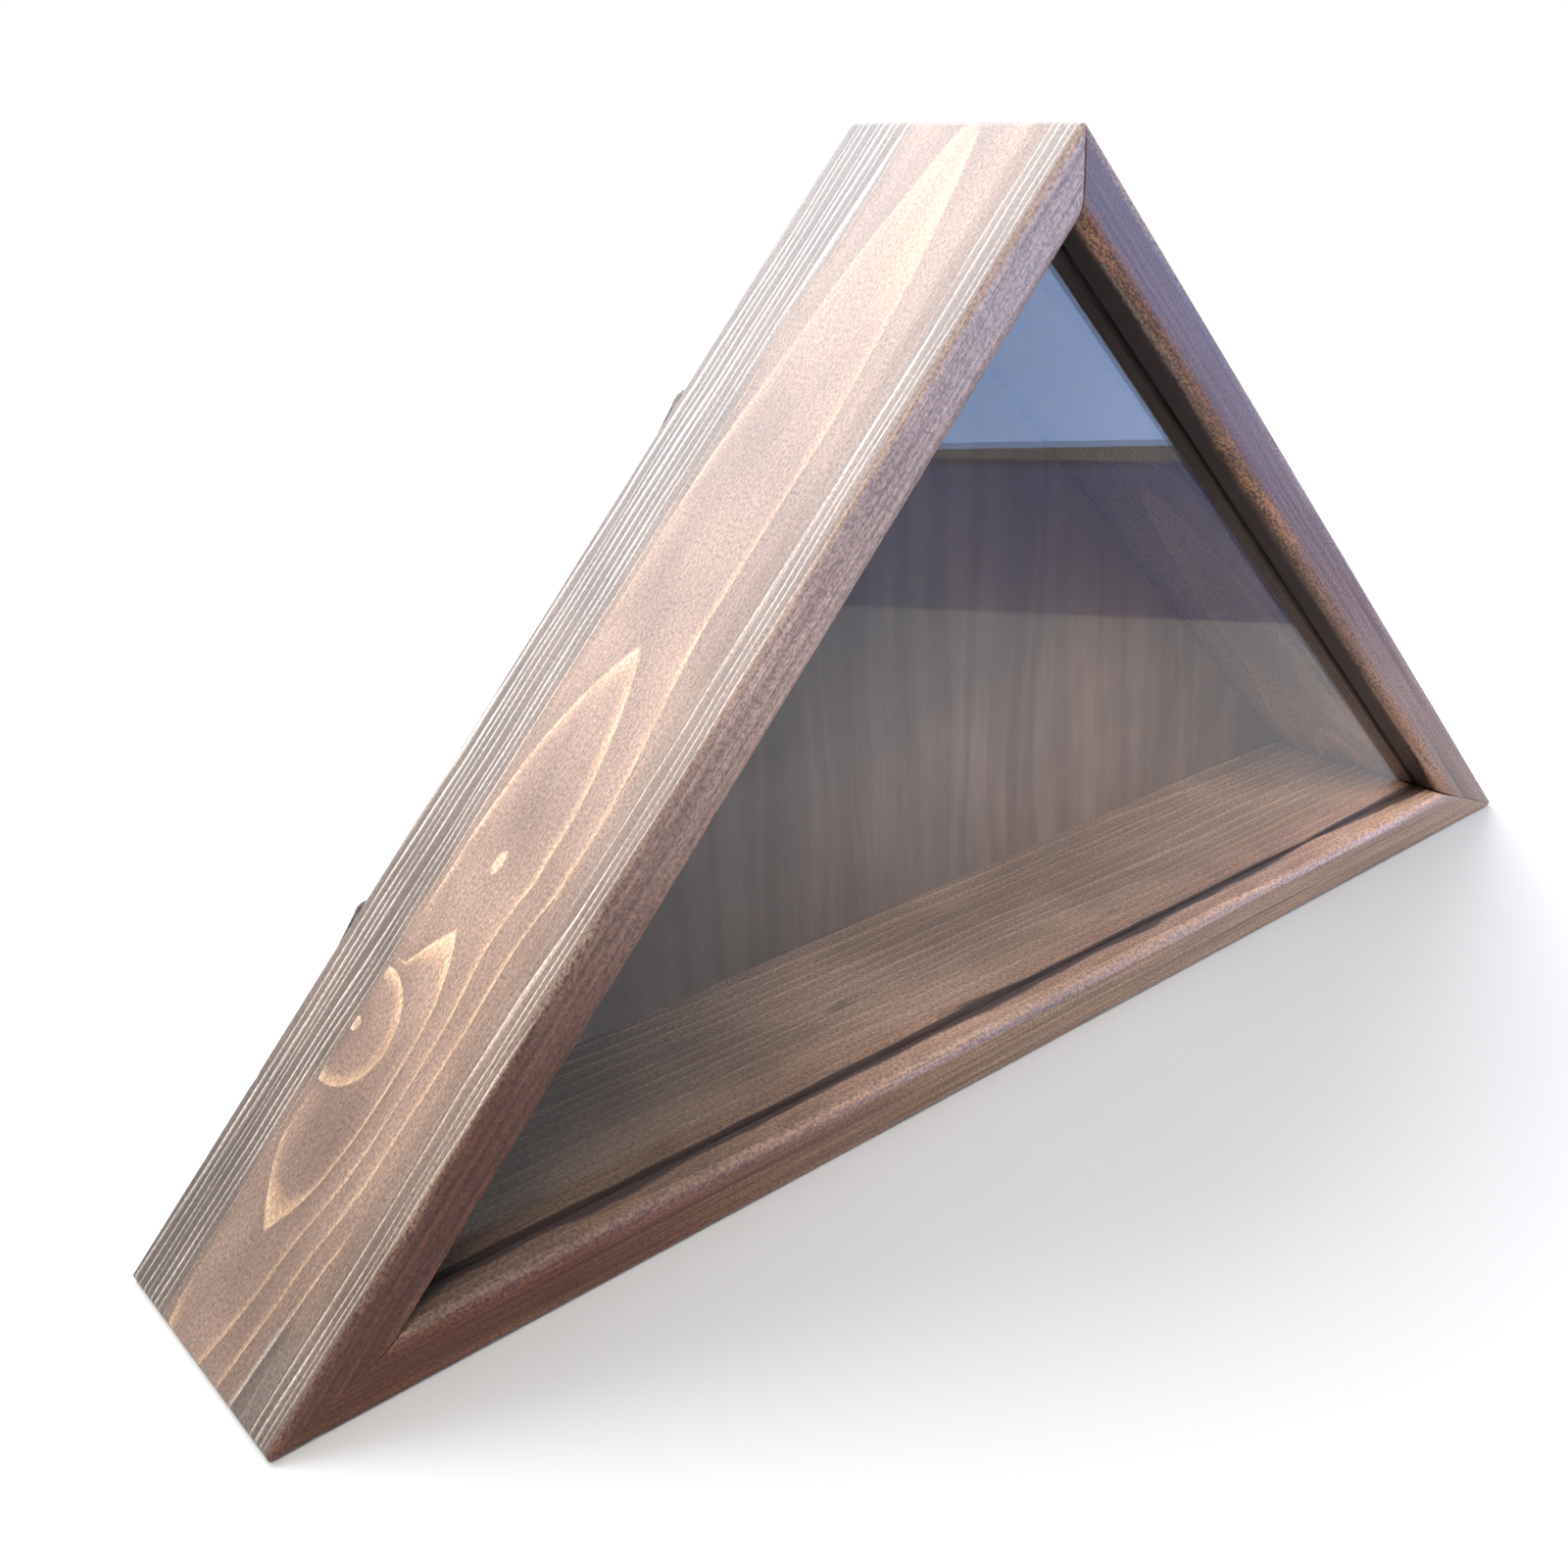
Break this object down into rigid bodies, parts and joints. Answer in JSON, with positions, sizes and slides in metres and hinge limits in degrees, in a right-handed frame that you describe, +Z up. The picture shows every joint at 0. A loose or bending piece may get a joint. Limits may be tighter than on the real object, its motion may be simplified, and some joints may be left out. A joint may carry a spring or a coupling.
{
  "type": "folded flag display case",
  "caption": "Triangular wooden display case with a glazed front, mitred boards and a removable back held by turn buttons, standing on its long side.",
  "frame": {"origin": "middle of the base board's underside, halfway through the depth of the boards", "axes": "+X along the base to the viewer's right, +Y from the glass front to the back, +Z up"},
  "size_m": [0.6294, 0.1113, 0.3167],
  "materials": {
    "stained_pine": "satin varnish over brown stain",
    "stained_plywood": "stained, unpolished",
    "clear_glass": "polished",
    "bronzed_metal": "dark bronze",
    "blackened_steel": "blackened",
    "zinc_steel": "zinc plated",
    "bright_steel": "bright"
  },
  "bodies": {
    "frame": {"left_side_board": "stained_pine", "right_side_board": "stained_pine", "base_board": "stained_pine", "glass_pane": "clear_glass", "button_screw_left_lower": "blackened_steel", "button_screw_left_upper": "blackened_steel", "button_screw_right_lower": "blackened_steel", "button_screw_right_upper": "blackened_steel", "button_screw_base_left": "blackened_steel", "button_screw_base_right": "blackened_steel", "button_washer_left_lower": "zinc_steel", "button_washer_left_upper": "zinc_steel", "button_washer_right_lower": "zinc_steel", "button_washer_right_upper": "zinc_steel", "button_washer_base_left": "zinc_steel", "button_washer_base_right": "zinc_steel", "corner_brads_left": "bright_steel", "corner_brads_right": "bright_steel", "corner_brads_top": "bright_steel"},
    "panel": {"back_panel": "stained_plywood"},
    "button_left_lower": {"turn_button_left_lower": "bronzed_metal"},
    "button_left_upper": {"turn_button_left_upper": "bronzed_metal"},
    "button_right_lower": {"turn_button_right_lower": "bronzed_metal"},
    "button_right_upper": {"turn_button_right_upper": "bronzed_metal"},
    "button_base_left": {"turn_button_base_left": "bronzed_metal"},
    "button_base_right": {"turn_button_base_right": "bronzed_metal"}
  },
  "joints": [
    {"name": "panel_slide", "type": "slide", "parent": "frame", "child": "panel", "axis": [0, 1, 0], "range_m": [0, 0.12]},
    {"name": "button_left_lower_turn", "type": "hinge", "parent": "frame", "child": "button_left_lower", "pos_m": [-0.21497, 0.05265, 0.09405], "axis": [0, -1, 0], "range_deg": [0, 90]},
    {"name": "button_left_upper_turn", "type": "hinge", "parent": "frame", "child": "button_left_upper", "pos_m": [-0.07426, 0.05265, 0.23476], "axis": [0, -1, 0], "range_deg": [0, 90]},
    {"name": "button_right_lower_turn", "type": "hinge", "parent": "frame", "child": "button_right_lower", "pos_m": [0.21497, 0.05265, 0.09405], "axis": [0, 1, 0], "range_deg": [0, 90]},
    {"name": "button_right_upper_turn", "type": "hinge", "parent": "frame", "child": "button_right_upper", "pos_m": [0.07426, 0.05265, 0.23476], "axis": [0, 1, 0], "range_deg": [0, 90]},
    {"name": "button_base_left_turn", "type": "hinge", "parent": "frame", "child": "button_base_left", "pos_m": [-0.1575, 0.05265, 0.006], "axis": [0, -1, 0], "range_deg": [0, 90]},
    {"name": "button_base_right_turn", "type": "hinge", "parent": "frame", "child": "button_base_right", "pos_m": [0.1575, 0.05265, 0.006], "axis": [0, 1, 0], "range_deg": [0, 90]}
  ]
}
